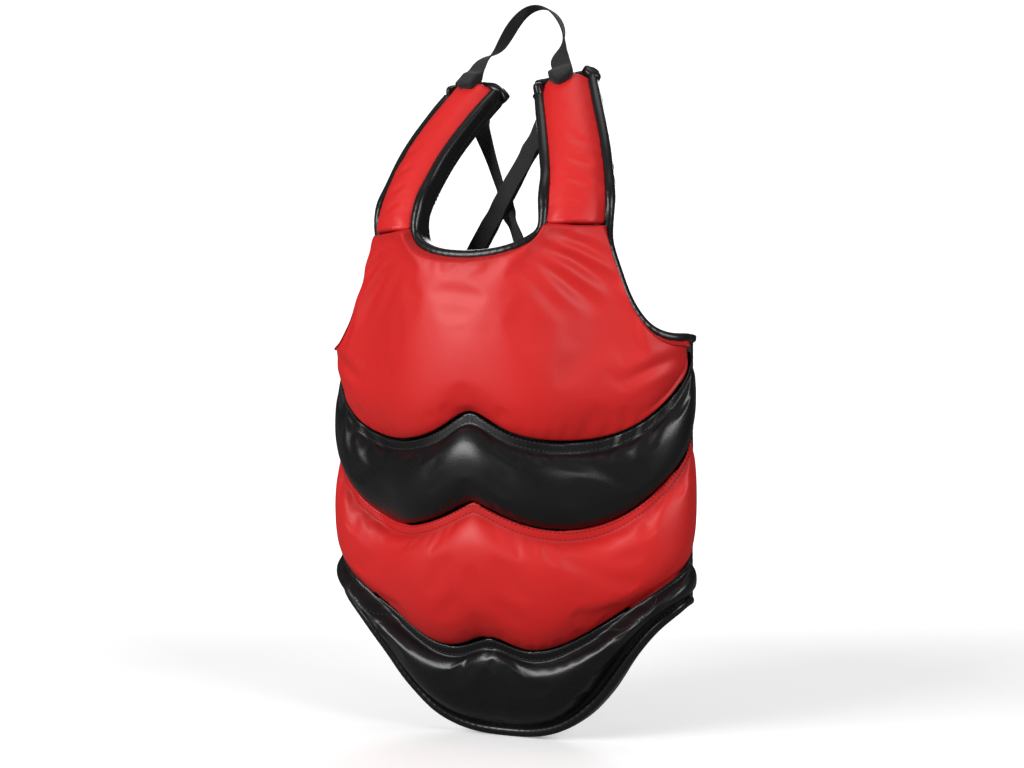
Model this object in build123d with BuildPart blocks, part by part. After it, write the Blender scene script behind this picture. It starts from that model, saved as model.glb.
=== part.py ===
from build123d import *

import os
from math import cos, pi, sin, sqrt

os.makedirs("parts", exist_ok=True)

# Coach's body protector: +Z up, the front faces -Y, millimetres. The origin lies on the
# wearer's centre line, level with the wings' rear edges, halfway up the padding.

# ---- driving dimensions
# plan of the shell at seam level, right half
SHELL_DEPTH = 98  # from the origin forward to the centre line
WING_X = 184  # half the width across the wings
WING_FRONT_Y = -36  # where the flat of the wing meets its rear roll
WING_END_Y = 4  # rear end of the foam

# heights of the edges and seams on the centre line
NECK_Z = 115
ARM_SEAM_Z = 148
HEM_Z = -338
HEM_END_Z = -199
CORNER_Z = 36  # top of the wing at its rear end
NECK_HALF_GIRTH = 75  # half the neck hole, measured along the shell
ARM_OUTER_GIRTH = 126  # where the armhole meets the arm, along the shell
LEAN_START_Z = -20
ARMHOLE_FACING = 45  # degrees off straight ahead that the armhole's edge faces
TURN_START = 0.45  # share of the girth where the shell begins to turn back
HEM_LEAN = 84  # how far the guard's point falls back

# layers
COVER = 1.6  # coated cloth
BOARD = 15  # backing foam
BOARD_THINNING = 0.45  # share that it loses towards the wing's end
LINING = 1.5
GAP = 0.3  # between two pieces that bear on each other
LAYER_GAP = 0.8  # between two layers laid over one another
PAD_GAP = 1.2  # between a band's foam and its cover
EDGE_GAP = 0.9  # from the layers' cut edge to the roll round it
SEAM_GAP = 0.9  # between two covers at a seam
STRIP = 11  # flat stitched strip along a cover's upper edge
FOAM_MARGIN = 3  # from a pad's edge to its seam

# how far each pad swells over seam level
CHEST_SWELL = 17
RIB_SWELL = 14
BELLY_SWELL = 16
GUARD_SWELL = 16
WING_SWELL = 0.45  # share of the swell left at the wing's end
CHEST_TOP_SWELL = 11  # chest pad's height over seam level where the arms start

# binding rolled over every edge
BINDING = 10.5  # its height over the edge
BINDING_LIP = 1.2  # how far it stands out past the layers that it closes

# arms
ARM_WIDTH = 50
ARM_FOAM = 15
ARM_CROWN = 8
ARM_SIDE = 4  # how far the cover turns down the arm's sides
TIP_WIDTH = 42
TIP_Z = 304
ARM_TURN = 28  # degrees that the arm's foot faces outward
TIP_TURN = 6

# webbing
WEB = 20
WEB_THICK = 1.6
LOOP_TOP_Z = 381  # top of the loop that joins the tips
LOOP_SEAT = 14  # length of its ends sewn down on the tips

# side-release buckle for that webbing
BUCKLE_WALL = 1.8
BUCKLE_FIT = 0.4  # running clearance inside the socket
SOCKET_LENGTH = 32
PLUG_BASE = 20
BUCKLE_THICK = 8.4
LATCH_THICK = 2.2
LATCH_ROOT = 8  # from the buckle's middle to the middle of a latch arm's root
TAB = 26  # length of the tab below its bar
SEAT_SHARE = 0.93  # place of a strap's sewn end up the arm
SEAT = 24  # length sewn down
KEEPER = 7
KEEPER_AT = 120  # above the tab's bar
KEEPER_WALL = 1.4
TAIL_END = 156
STRAIGHT = 168  # straight lower run of a strap, from the tab's bar
TAB_Z = -72  # height of the tab's bar


# ---- the shell: every padded layer is lofted through upright planes along this plan line
with BuildLine() as plan:
    Spline(
        (0, -SHELL_DEPTH),
        (0.33 * WING_X, -SHELL_DEPTH + 8.5),
        (0.65 * WING_X, -SHELL_DEPTH + 43),
        (0.9 * WING_X, WING_FRONT_Y),
        (0.995 * WING_X, WING_FRONT_Y + 16),
        (WING_X, WING_END_Y),
        tangents=((1, 0), (-0.1, 1)),
    )
plan_line = plan.edges()[0]
GIRTH = plan_line.length
STATIONS = [GIRTH * s for s in (0, 0.13, 0.27, 0.41, 0.55, 0.68, 0.8, 0.9, 1)]


def upright(girth):
    """Upright plane across the shell: local x points out of the shell, local y up.

    It faces straight ahead over the front and turns with the roll at the wing's end.
    """
    turn = pi / 2 * max(0, (girth / GIRTH - TURN_START) / (1 - TURN_START)) ** 2
    return Plane(
        plan_line @ (girth / GIRTH),
        x_dir=(sin(turn), -cos(turn), 0),
        z_dir=(-cos(turn), -sin(turn), 0),
    )


def slant(girth):
    """How much longer a layer is across an upright plane than square to the shell."""
    along = plan_line % (girth / GIRTH)
    facing = Vector(along.Y, -along.X, 0)
    return 1 / facing.dot(upright(girth).x_dir)


def lean(girth, z):
    """How far the shell has fallen back at this height."""
    drop = max(0, LEAN_START_Z - z) / (LEAN_START_Z - HEM_Z)
    return HEM_LEAN * drop**2 * cos(pi / 2 * girth / GIRTH) ** 1.3


def at(girth, out, z):
    """Point in an upright plane, out from seam level at the height z."""
    return (out * slant(girth) - lean(girth, z), z)


def seam(girth, notch, lobe, lobe_girth, end, rise):
    """Wavy seam: a notch on the centre line, a lobe beside it, a climb to the wing."""
    if girth < lobe_girth:
        return notch + (lobe - notch) * sin(pi / 2 * girth / lobe_girth)
    return lobe + (end - lobe) * ((girth - lobe_girth) / (GIRTH - lobe_girth)) ** rise


def rib_line(girth):
    return seam(girth, -27, -55, 84, 34, 2.7)


def belly_line(girth):
    return seam(girth, -112, -138, 88, -42, 2.2)


def guard_line(girth):
    return seam(girth, -247, -257, 51, -160, 1.35)


def hem_line(girth):
    return HEM_Z + (HEM_END_Z - HEM_Z) * (1 - cos(pi * (girth / GIRTH) ** 1.28)) / 2


def slope(line, girth):
    """How steeply a line climbs along the shell."""
    before = max(0, girth - 1)
    return (line(girth) - line(before)) / (girth - before) if girth else 0


def arm_line(girth):
    return ARM_SEAM_Z


def neck_line(girth):
    share = min(1, girth / NECK_HALF_GIRTH)
    return NECK_Z + (ARM_SEAM_Z - NECK_Z) * (1 - sqrt(1 - share**2))


def armhole_line(girth):
    share = (GIRTH - girth) / (GIRTH - ARM_OUTER_GIRTH)
    return CORNER_Z + (ARM_SEAM_Z - CORNER_Z) * share**4.2


def swell_at(girth, swell):
    """Swell of a pad at a place on the girth, thinner towards the wing's end."""
    return swell * (WING_SWELL + (1 - WING_SWELL) * cos(pi / 2 * (girth / GIRTH) ** 2))


# ---- neck hole and armholes, cut square through every layer of the chest
def neck_point(girth):
    """A point of the neck's edge as the front view shows it."""
    return Vector((plan_line @ (girth / GIRTH)).X, neck_line(girth))


facing = pi * ARMHOLE_FACING / 180
hole_plane = Plane((0, 0, 0), x_dir=(cos(facing), sin(facing), 0), z_dir=(sin(facing), -cos(facing), 0))


def hole_point(girth):
    """A point of the armhole's edge, seen square to the shell beside it."""
    along = (plan_line @ (girth / GIRTH)).dot(hole_plane.x_dir)
    return Vector(along, armhole_line(girth))


neck_girths = [NECK_HALF_GIRTH * s for s in (0, 0.35, 0.65, 0.85, 0.96, 1)]
hole_reach = GIRTH - 1 - ARM_OUTER_GIRTH
hole_girths = [GIRTH - 1 - hole_reach * s for s in (0, 0.25, 0.48, 0.68, 0.82, 0.92, 0.965, 1)]
above = ARM_SEAM_Z + 20
with BuildPart() as neck_hole:
    with BuildSketch(Plane.XZ):
        with BuildLine():
            points = [neck_point(girth) for girth in neck_girths]
            rim = Spline(*points, tangents=((1, 0), (0, 1)))
            side = Line(rim @ 1, ((rim @ 1).X, above))
            Line(side @ 1, (0, above))
            mirror(about=Plane.YZ)
        make_face()
    extrude(amount=3 * SHELL_DEPTH, both=True)
with BuildPart() as right_armhole:
    with BuildSketch(hole_plane):
        with BuildLine():
            points = [hole_point(girth) for girth in reversed(hole_girths)]
            rim = Spline(*points, points[-1] + Vector(WING_X / 4, 0))
            Polyline(rim @ 1, ((rim @ 1).X, above), ((rim @ 0).X, above), rim @ 0)
        make_face()
    extrude(amount=3 * SHELL_DEPTH, both=True)
with BuildPart() as left_armhole:
    mirror(right_armhole.part, about=Plane.YZ)


# ---- padded bands: a sewn cover over a foam pad, right half lofted, left half mirrored
# outline of a pad between its upper and lower edge: (share of the height, share of the swell)
BAND_DOME = ((0, 0), (0.1, 0.55), (0.32, 0.94), (0.56, 1), (0.8, 0.84), (0.93, 0.48), (1, 0))
CHEST_DOME = ((0, CHEST_TOP_SWELL / CHEST_SWELL), (0.25, 0.88), (0.5, 1), (0.75, 0.93),
              (0.92, 0.55), (1, 0))


def dome_points(girth, high, low, swell, dome, inset):
    """Points down a pad's face, the inset under the cover's outer face."""
    margin = 0.5 * inset * (dome[0][1] == 0)
    top, foot = high - margin, low + 0.5 * inset
    tall = swell_at(girth, swell)
    return [at(girth, tall * d - inset, top - s * (top - foot)) for s, d in dome]


def face_points(girth, out, high, low):
    """Points down a layer that lies a fixed distance out from seam level."""
    return [at(girth, out, high + (low - high) * n / 11) for n in range(12)]


def covered_band(high_line, low_line, swell, strip, dome):
    """Cover and foam pad of one band; the strip is flat cloth along the upper edge."""
    with BuildPart() as cover:
        for girth in STATIONS:
            high, low = high_line(girth), low_line(girth)
            low += SEAM_GAP * (1 + 2 * slope(low_line, girth) ** 2)
            flat = strip * min(1, (high - low) / (4 * STRIP))
            with BuildSketch(upright(girth)):
                with BuildLine():
                    faces = []
                    for inset in (0, COVER):
                        points = dome_points(girth, high - flat, low, swell, dome, inset)
                        face = Spline(*points)
                        if strip:
                            Line(at(girth, -inset, high), face @ 0)
                        faces.append((at(girth, -inset, high) if strip else face @ 0, face @ 1))
                    Line(faces[0][0], faces[1][0])
                    Line(faces[0][1], faces[1][1])
                make_face()
        loft()
        mirror(about=Plane.YZ)
    with BuildPart() as pad:
        for girth in STATIONS:
            high, low = high_line(girth), low_line(girth)
            low += SEAM_GAP * (1 + 2 * slope(low_line, girth) ** 2)
            high -= strip * min(1, (high - low) / (4 * STRIP))
            with BuildSketch(upright(girth)):
                with BuildLine():
                    margin = FOAM_MARGIN if strip else 0
                    back = Spline(*face_points(girth, -COVER, high - margin, low + FOAM_MARGIN))
                    points = dome_points(girth, high, low, swell, dome, COVER + PAD_GAP)
                    if strip:
                        face = Spline(back @ 0, *points[1:-1], back @ 1)
                    else:
                        face = Spline(*points[:-1], back @ 1)
                        Line(face @ 0, back @ 0)
                make_face()
        loft()
        mirror(about=Plane.YZ)
    return cover, pad


def sheet_band(high_line, low_line, out, thick, thin_share):
    """Layer of even thickness over the whole shell, thinner by its share at the wing's end."""
    with BuildPart() as sheet:
        for girth in STATIONS:
            high, low = high_line(girth), low_line(girth) + GAP
            depth = thick * (1 - thin_share * (girth / GIRTH) ** 2)
            with BuildSketch(upright(girth)):
                with BuildLine():
                    front = Spline(*face_points(girth, out, high, low))
                    back = Spline(*face_points(girth, out - depth, high, low))
                    Line(front @ 0, back @ 0)
                    Line(front @ 1, back @ 1)
                make_face()
        loft()
        mirror(about=Plane.YZ)
    return sheet


def finish(made, label):
    made.part.label = label
    export_step(made.part, f"parts/{label}.step")


# four bands down the front
chest_cover, chest_foam = covered_band(arm_line, rib_line, CHEST_SWELL, 0, CHEST_DOME)
rib_cover, rib_foam = covered_band(rib_line, belly_line, RIB_SWELL, STRIP, BAND_DOME)
belly_cover, belly_foam = covered_band(belly_line, guard_line, BELLY_SWELL, STRIP, BAND_DOME)
guard_cover, guard_foam = covered_band(guard_line, hem_line, GUARD_SWELL, STRIP, BAND_DOME)

# backing board and lining behind all of them
board_face = -COVER - LAYER_GAP
backing_board = sheet_band(arm_line, hem_line, board_face, BOARD, BOARD_THINNING)
# the lining follows the board's back, so it moves forward where the board thins
with BuildPart() as lining:
    for girth in STATIONS:
        face = board_face - BOARD * (1 - BOARD_THINNING * (girth / GIRTH) ** 2) - LAYER_GAP
        with BuildSketch(upright(girth)):
            with BuildLine():
                high, low = arm_line(girth), hem_line(girth) + GAP
                front = Spline(*face_points(girth, face, high, low))
                back = Spline(*face_points(girth, face - LINING, high, low))
                Line(front @ 0, back @ 0)
                Line(front @ 1, back @ 1)
            make_face()
    loft()
    mirror(about=Plane.YZ)

for layer in (chest_cover, chest_foam, backing_board, lining):
    with layer:
        add(neck_hole.part, mode=Mode.SUBTRACT)
        add(right_armhole.part, mode=Mode.SUBTRACT)
        add(left_armhole.part, mode=Mode.SUBTRACT)

finish(chest_cover, "chest_cover")
finish(chest_foam, "chest_foam")
finish(rib_cover, "rib_band_cover")
finish(rib_foam, "rib_band_foam")
finish(belly_cover, "belly_band_cover")
finish(belly_foam, "belly_band_foam")
finish(guard_cover, "lower_guard_cover")
finish(guard_foam, "lower_guard_foam")
finish(backing_board, "backing_board")
finish(lining, "body_lining")


# ---- arms: lofted along a line that leans back and inward from the chest
with BuildLine() as arm:
    Spline(
        (0.53 * WING_X, 0.5 * WING_FRONT_Y - 56, ARM_SEAM_Z + SEAM_GAP),
        (0.49 * WING_X, -52, ARM_SEAM_Z + 55),
        (0.4 * WING_X, -24, ARM_SEAM_Z + 103),
        (0.27 * WING_X, 18, TIP_Z),
    )
arm_path = arm.edges()[0]
ARM_LENGTH = arm_path.length
arm_back = -ARM_FOAM - COVER
ARM_STATIONS = (0, 0.25, 0.5, 0.75, 1)


def arm_plane(share):
    """Plane across the right arm: local x points to its outer edge, local y out of its face."""
    turn = ARM_TURN + (TIP_TURN - ARM_TURN) * share
    along = arm_path % share
    # the foot is cut level, where it meets the chest
    square = Vector(0, 0, 1) if share == 0 else along
    across = (cos(pi * turn / 180), sin(pi * turn / 180), 0)
    return Plane(arm_path @ share, x_dir=across, z_dir=-square)


def arm_sections():
    """Planes up the arm with its width at each."""
    for share in ARM_STATIONS:
        yield arm_plane(share), ARM_WIDTH + (TIP_WIDTH - ARM_WIDTH) * share


def arm_face(half, crown, foot):
    """Domed line across an arm, from side to side."""
    Spline(
        (-half, foot),
        (-half + 1, foot + 0.6 * (crown - foot) * 0.7),
        (-half * 0.55, crown * 0.86),
        (0, crown),
        (half * 0.55, crown * 0.86),
        (half - 1, foot + 0.6 * (crown - foot) * 0.7),
        (half, foot),
    )


with BuildPart() as right_arm_cover:
    for plane, width in arm_sections():
        with BuildSketch(plane):
            with BuildLine():
                arm_face(width / 2, ARM_CROWN, -ARM_SIDE)
                arm_face(width / 2 - COVER, ARM_CROWN - COVER, -ARM_SIDE)
                Line((-width / 2, -ARM_SIDE), (-width / 2 + COVER, -ARM_SIDE))
                Line((width / 2, -ARM_SIDE), (width / 2 - COVER, -ARM_SIDE))
            make_face()
    loft()

with BuildPart() as right_arm_foam:
    for plane, width in arm_sections():
        half = width / 2 - COVER - LAYER_GAP
        with BuildSketch(plane):
            with BuildLine():
                arm_face(half, ARM_CROWN - COVER - LAYER_GAP, -ARM_SIDE)
                Polyline((-half, -ARM_SIDE), (-half, arm_back), (half, arm_back), (half, -ARM_SIDE))
            make_face()
    loft()

with BuildPart() as right_arm_lining:
    for plane, width in arm_sections():
        with BuildSketch(plane):
            with Locations((0, arm_back - LAYER_GAP - LINING / 2)):
                Rectangle(width - 3 * EDGE_GAP, LINING)
    loft()


def finish_pair(right, label):
    """Writes the right piece and its mirror image."""
    with BuildPart() as left:
        mirror(right.part, about=Plane.YZ)
    finish(right, f"right_{label}")
    finish(left, f"left_{label}")


finish_pair(right_arm_cover, "arm_cover")
finish_pair(right_arm_foam, "arm_foam")
finish_pair(right_arm_lining, "arm_lining")


# ---- binding: a roll along every edge of the layers
half_roll = BINDING / 2
arm_depth = -arm_back + LAYER_GAP + LINING


def layers_depth(girth):
    """Depth of all the layers at the edge of the shell."""
    return -board_face + BOARD * (1 - BOARD_THINNING * (girth / GIRTH) ** 2) + LAYER_GAP + LINING


def facing_at(girth):
    """The way out of the shell's face."""
    along = plan_line % (girth / GIRTH)
    return Vector(along.Y, -along.X, 0)


def edge_stop(girth, spot, way, cut, across, room):
    """Middle of an edge's roll, the way out of its face and the layers' depth.

    The spot is on the shell's plan line, the way runs along the edge, the edge is cut
    along one direction, and across lies level along the shell.
    """
    off = Vector(-way.Y, way.X).normalized() * (half_roll + room)
    steep = min(1, 3 * abs(way.Y / way.X))
    out = (cut * steep + facing_at(girth) * (1 - steep)).normalized()
    depth = layers_depth(girth) / facing_at(girth).dot(out)
    return spot + across * off.X + Vector(0, 0, off.Y) - out * (depth / 2), out, depth


def hem_stop(girth):
    """Stop of the roll under the hem."""
    upside = Vector(-1, -slope(hem_line, girth))
    flat = upright(girth)
    spot = flat.from_local_coords((*at(girth, 0, hem_line(girth)), 0))
    room = EDGE_GAP * (1 + (girth / GIRTH) ** 4)
    return edge_stop(girth, spot, upside, flat.x_dir, -flat.z_dir, room)


def hole_stop(girth, edge_point, plane):
    """Stop of the roll round a hole that is cut square to a plane."""
    way = edge_point(girth + 1) - edge_point(max(0, girth - 1))
    spot = plan_line @ (girth / GIRTH) + Vector(0, 0, edge_point(girth).Y)
    return edge_stop(girth, spot, way, plane.z_dir, plane.x_dir, EDGE_GAP + GAP)


def arm_stop(share, side):
    """Middle of the arm's outer (side 1) or inner (side -1) edge roll."""
    plane = arm_plane(share)
    width = ARM_WIDTH + (TIP_WIDTH - ARM_WIDTH) * share
    across = side * (width / 2 + LAYER_GAP + 1.5 * GAP * (1 - share) ** 4 + half_roll)
    return plane.from_local_coords((across, -arm_depth / 2, 0)), plane.y_dir, arm_depth


def mirrored(v):
    return Vector(-v.X, v.Y, v.Z)


def both_sides(stops):
    """Stops from the centre line to the right, with the same stops on the left before them."""
    left = [(mirrored(point), mirrored(out), depth) for point, out, depth in stops[:0:-1]]
    return left + stops


def rolled(stops, step):
    """Roll lofted through even steps of a smooth route through the stops."""
    points = [point for point, out, depth in stops]
    with BuildLine() as route:
        Spline(*points)
    path = route.edges()[0]
    run = [0]
    for before, after in zip(points, points[1:]):
        run.append(run[-1] + (after - before).length)
    shares = [length / run[-1] for length in run]
    count = max(4, round(path.length / step))
    with BuildPart() as roll:
        for n in range(count + 1):
            share = n / count
            k = max(i for i in range(len(stops) - 1) if shares[i] <= share + 1e-6)
            mix = (share - shares[k]) / (shares[k + 1] - shares[k])
            out = stops[k][1] * (1 - mix) + stops[k + 1][1] * mix
            depth = stops[k][2] * (1 - mix) + stops[k + 1][2] * mix
            with BuildSketch(Plane(path @ share, x_dir=out, z_dir=path % share)):
                RectangleRounded(depth + 2 * BINDING_LIP, BINDING, 0.42 * BINDING)
        loft()
    return roll


hem_girths = [(GIRTH - 2) * n / 10 for n in range(11)]
whole_hem = rolled(both_sides([hem_stop(girth) for girth in hem_girths]), 17)
with BuildPart() as hem_binding:
    add(whole_hem.part)
    split(bisect_by=Plane.YZ, keep=Keep.BOTTOM)
    mirror(about=Plane.YZ)
finish(hem_binding, "hem_binding")

end_depth = layers_depth(GIRTH)
with BuildPart() as right_wing_binding:
    with BuildSketch(Plane.XY.offset(HEM_END_Z - BINDING)):
        with Locations((WING_X - end_depth / 2, WING_END_Y + GAP + half_roll)):
            RectangleRounded(end_depth + 2 * BINDING_LIP, BINDING, 0.42 * BINDING)
    extrude(amount=CORNER_Z - HEM_END_Z + 2 * BINDING)
    fillet(right_wing_binding.faces().sort_by(Axis.Z)[-1].edges(), 0.3 * BINDING)
    fillet(right_wing_binding.faces().sort_by(Axis.Z)[0].edges(), 0.3 * BINDING)
finish_pair(right_wing_binding, "wing_binding")

armhole_stops = [hole_stop(girth, hole_point, hole_plane) for girth in hole_girths[:-1]]
armhole_stops += [arm_stop(share, 1) for share in (0.1, 0.25, 0.45, 0.65, 0.82, 1)]
right_armhole_binding = rolled(armhole_stops, 22)
finish_pair(right_armhole_binding, "armhole_binding")

neck_stops = [hole_stop(girth, neck_point, Plane.XZ) for girth in neck_girths[:-1]]
neck_stops += [arm_stop(share, -1) for share in (0.08, 0.25, 0.45, 0.65, 0.82, 1)]
neckline_binding = rolled(both_sides(neck_stops), 22)
finish(neckline_binding, "neckline_binding")

# a straight roll closes the tip between the ends of the two side rolls
tip_plane = arm_plane(1)
tip_top = Plane(
    arm_path @ 1 + (arm_path % 1) * (GAP + half_roll) - tip_plane.y_dir * (arm_depth / 2),
    x_dir=tip_plane.y_dir,
    z_dir=tip_plane.x_dir,
)
with BuildPart() as right_tip_binding:
    with BuildSketch(tip_top.offset(-TIP_WIDTH / 2 - BINDING)):
        RectangleRounded(arm_depth + 2 * BINDING_LIP, BINDING, 0.42 * BINDING)
    extrude(amount=TIP_WIDTH + 2 * BINDING)
    ends = right_tip_binding.faces().sort_by(Axis(tip_top.origin, tip_top.z_dir))
    fillet(ends[0].edges(), 0.3 * BINDING)
    ends = right_tip_binding.faces().sort_by(Axis(tip_top.origin, tip_top.z_dir))
    fillet(ends[-1].edges(), 0.3 * BINDING)
finish_pair(right_tip_binding, "tip_binding")


# ---- webbing: flat strips lofted along their routes
def strip(stops):
    """Loft of webbing through stops of (point, way along it, way across it)."""
    with BuildPart() as web:
        for point, along, across in stops:
            with BuildSketch(Plane(point, x_dir=across, z_dir=along)):
                Rectangle(WEB, WEB_THICK)
        loft()
    return web.part


# loop over the neck, from the front of one tip to the other, twisting on the way
web_rest = ARM_CROWN + LAYER_GAP + WEB_THICK / 2
brow = tip_plane.from_local_coords((0, web_rest, -BINDING / 2))
brow_along = arm_path % 1
brow_across = -tip_plane.x_dir


over_neck = strip([
    (brow, brow_along, brow_across),
    (Vector(46, 22, LOOP_TOP_Z - 40), (-0.1, 0.1, 1), (-0.55, 0.83, 0)),
    (Vector(38, 26, LOOP_TOP_Z - 12), (-0.7, 0, 0.7), (0, 1, 0)),
    (Vector(18, 27, LOOP_TOP_Z), (-1, 0, 0), (0, 1, 0)),
    (Vector(-6, 26, LOOP_TOP_Z - 12), (-0.8, 0, -0.6), (0.2, 0.98, 0)),
    (Vector(-26, 24, LOOP_TOP_Z - 40), (-0.5, -0.1, -0.85), (-0.1, 0.99, 0)),
    (mirrored(brow), -mirrored(brow_along), mirrored(brow_across)),
])
with BuildPart() as neck_loop:
    with BuildSketch(Plane(brow, x_dir=brow_across, z_dir=-brow_along)):
        Rectangle(WEB, WEB_THICK)
    extrude(amount=BINDING / 2 + LOOP_SEAT)
    mirror(about=Plane.YZ)
    add(over_neck)
finish(neck_loop, "neck_loop")


# ---- side-release buckle, one at each wing, on a tab sewn to the lining
side = WEB / 2 + 3.5
half_thick = BUCKLE_THICK / 2
mouth = SOCKET_LENGTH  # height of the socket's mouth over the bar that holds the tab
bar_half = 1.5
tab_slot = bar_half + WEB_THICK + 2 * GAP
cavity_floor = tab_slot + BUCKLE_WALL
cavity_half = half_thick - BUCKLE_WALL
cavity_side = side - BUCKLE_WALL
window_low, window_high = cavity_floor + 0.4, 0.5 * SOCKET_LENGTH
latch_half = cavity_half - BUCKLE_FIT
latch_r = LATCH_THICK / 2
base_low = mouth + GAP
base_high = base_low + PLUG_BASE
pivot = base_low - GAP - latch_r
grip_bar = base_low + 0.45 * PLUG_BASE
slot = WEB + 2 * BUCKLE_FIT
turn_radius = bar_half + GAP + WEB_THICK / 2
layer = (WEB_THICK + GAP) / 2  # from the middle of two layers of webbing to each


def closed(points):
    """Closed outline, the same on both sides of the buckle's middle."""
    Polyline(*points, *[(-x, y) for x, y in reversed(points)], close=True)


def edgewise(plane):
    """The same place seen along the webbing's edge: x runs along it, y out of its face."""
    return Plane(plane.origin, x_dir=plane.y_dir, z_dir=plane.x_dir)


def bar(plane, height):
    """Rounded bar that webbing turns round."""
    with BuildPart() as rod:
        with BuildSketch(edgewise(plane)):
            with Locations((height, 0)):
                RectangleRounded(2 * bar_half, 2 * bar_half, 0.9)
        extrude(amount=slot / 2 + 1, both=True)
    return rod.part


def make_socket(plane):
    """Hollow body with a window in each side and a slim bar for the tab."""
    with BuildPart() as socket:
        with BuildSketch(plane):
            with BuildLine():
                closed([(side - 2, -bar_half), (side, 2), (side, mouth - 2), (side - 1, mouth)])
            make_face()
        extrude(amount=half_thick, both=True)
        fillet(socket.edges().filter_by(Axis((0, 0, 0), plane.y_dir)), 1.2)
        with BuildSketch(plane):
            with Locations((0, tab_slot)):
                Rectangle(slot, SOCKET_LENGTH, align=(Align.CENTER, Align.MAX))
        extrude(amount=half_thick, both=True, mode=Mode.SUBTRACT)
        add(bar(plane, 0))
        with BuildSketch(plane):
            with Locations((0, cavity_floor)):
                Rectangle(2 * cavity_side, mouth, align=(Align.CENTER, Align.MIN))
            with Locations((0, (window_low + window_high) / 2)):
                Rectangle(3 * side, window_high - window_low)
        extrude(amount=cavity_half, both=True, mode=Mode.SUBTRACT)
        # scallops that let finger and thumb reach the latch arms
        with BuildSketch(plane):
            reach = (window_high - window_low) / 2
            with Locations((side + 2, window_low + reach), (-side - 2, window_low + reach)):
                Circle(reach)
        extrude(amount=half_thick, both=True, mode=Mode.SUBTRACT)
    return socket


def make_plug(plane):
    """Base with the strap's two bars, and the guide that runs down the socket."""
    with BuildPart() as plug:
        with BuildSketch(plane):
            with BuildLine():
                closed([(side - 1, base_low), (side, base_low + 1), (side, base_high - 3),
                        (side - 2, base_high)])
            make_face()
        extrude(amount=half_thick, both=True)
        fillet(plug.edges().filter_by(Axis((0, 0, 0), plane.y_dir)), 1.2)
        with BuildSketch(plane):
            with Locations((0, base_low + 3.4)):
                Rectangle(slot, PLUG_BASE, align=(Align.CENTER, Align.MIN))
        extrude(amount=half_thick, both=True, mode=Mode.SUBTRACT)
        add(bar(plane, grip_bar))
        add(bar(plane, base_high - bar_half))
        with BuildSketch(plane):
            with BuildLine():
                closed([(2.2, base_low + 1), (2.2, cavity_floor + 4), (1, cavity_floor + 1.5)])
            make_face()
        extrude(amount=latch_half, both=True)
    return plug


def make_latch(plane, hand):
    """Sprung arm: round root, slim beam, and a head that fills the window."""
    head_low, head_high = window_low + 1.2, window_high - BUCKLE_FIT
    with BuildPart() as latch:
        with BuildSketch(plane):
            with BuildLine():
                Polyline(*[(hand * x, y) for x, y in (
                    (LATCH_ROOT - latch_r, pivot),
                    (LATCH_ROOT - latch_r, window_high),
                    (LATCH_ROOT + 0.6, head_low),
                    (cavity_side - 1, head_low),
                    (side, head_low + 3),
                    (side + 0.3, head_high - 1),
                    (side - 0.4, head_high),
                    (LATCH_ROOT + latch_r, head_high),
                    (LATCH_ROOT + latch_r, pivot),
                )], close=True)
            make_face()
            with Locations((hand * LATCH_ROOT, pivot)):
                Circle(latch_r)
        extrude(amount=latch_half, both=True)
    return latch


def make_tab(plane, wall_x):
    """Webbing doubled round the socket's bar and trimmed where it is sewn to the lining."""
    with BuildPart() as tab:
        with BuildSketch(edgewise(plane)):
            with BuildLine():
                low = Polyline((-TAB, -layer), (-8, -layer), (0, -turn_radius))
                turn = ThreePointArc(low @ 1, (turn_radius, 0), (0, turn_radius))
                Polyline(turn @ 1, (-8, layer), (-TAB, layer))
            trace(line_width=WEB_THICK)
        extrude(amount=WEB / 2, both=True)
        outside = Plane((wall_x, 0, 0), z_dir=(-wall_x, 0, 0))
        split(bisect_by=outside, keep=Keep.TOP)
    return tab


def make_strap(plane, stops):
    """Strap from a shoulder down to the plug, round its grip bar and back up as a tail."""
    lie = edgewise(plane)
    with BuildPart() as strap:
        with BuildSketch(lie):
            with BuildLine():
                low = Polyline((STRAIGHT, -layer), (base_high + 8, -layer),
                               (base_high, -turn_radius), (grip_bar, -turn_radius))
                turn = ThreePointArc(low @ 1, (grip_bar - turn_radius, 0),
                                     (grip_bar, turn_radius))
                Polyline(turn @ 1, (base_high, turn_radius), (base_high + 8, layer),
                         (TAIL_END, layer))
            trace(line_width=WEB_THICK)
        extrude(amount=WEB / 2, both=True)
        begin = lie.from_local_coords((STRAIGHT, -layer, 0))
        add(strip([(begin, plane.y_dir, plane.x_dir)] + stops))
        foot, up, across = stops[-1]
        with BuildSketch(Plane(foot, x_dir=across, z_dir=up)):
            Rectangle(WEB, WEB_THICK)
        extrude(amount=SEAT)
    return strap


def make_keeper(plane):
    """Elastic ring that holds the tail against the strap."""
    inner = (WEB + 2 * GAP, 2 * layer + WEB_THICK + 2 * GAP)
    with BuildPart() as keeper:
        centre = plane.from_local_coords((0, KEEPER_AT, 0))
        with BuildSketch(Plane(centre, x_dir=plane.x_dir, z_dir=plane.y_dir)):
            RectangleRounded(inner[0] + 2 * KEEPER_WALL, inner[1] + 2 * KEEPER_WALL, 1)
            Rectangle(*inner, mode=Mode.SUBTRACT)
        extrude(amount=KEEPER / 2, both=True)
    return keeper


def buckle_plane(hand, way):
    """Plane of the buckle at a wing, y along its strap and z out behind."""
    way = Vector(way).normalized()
    wall = WING_X - end_depth - 3 * GAP
    origin = Vector(hand * (wall - 0.55 * WEB), WING_END_Y - half_thick - 2, TAB_Z)
    across = way.cross(Vector(0, 1, 0)).normalized()
    return Plane(origin, x_dir=across, z_dir=across.cross(way)), hand * wall


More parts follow.
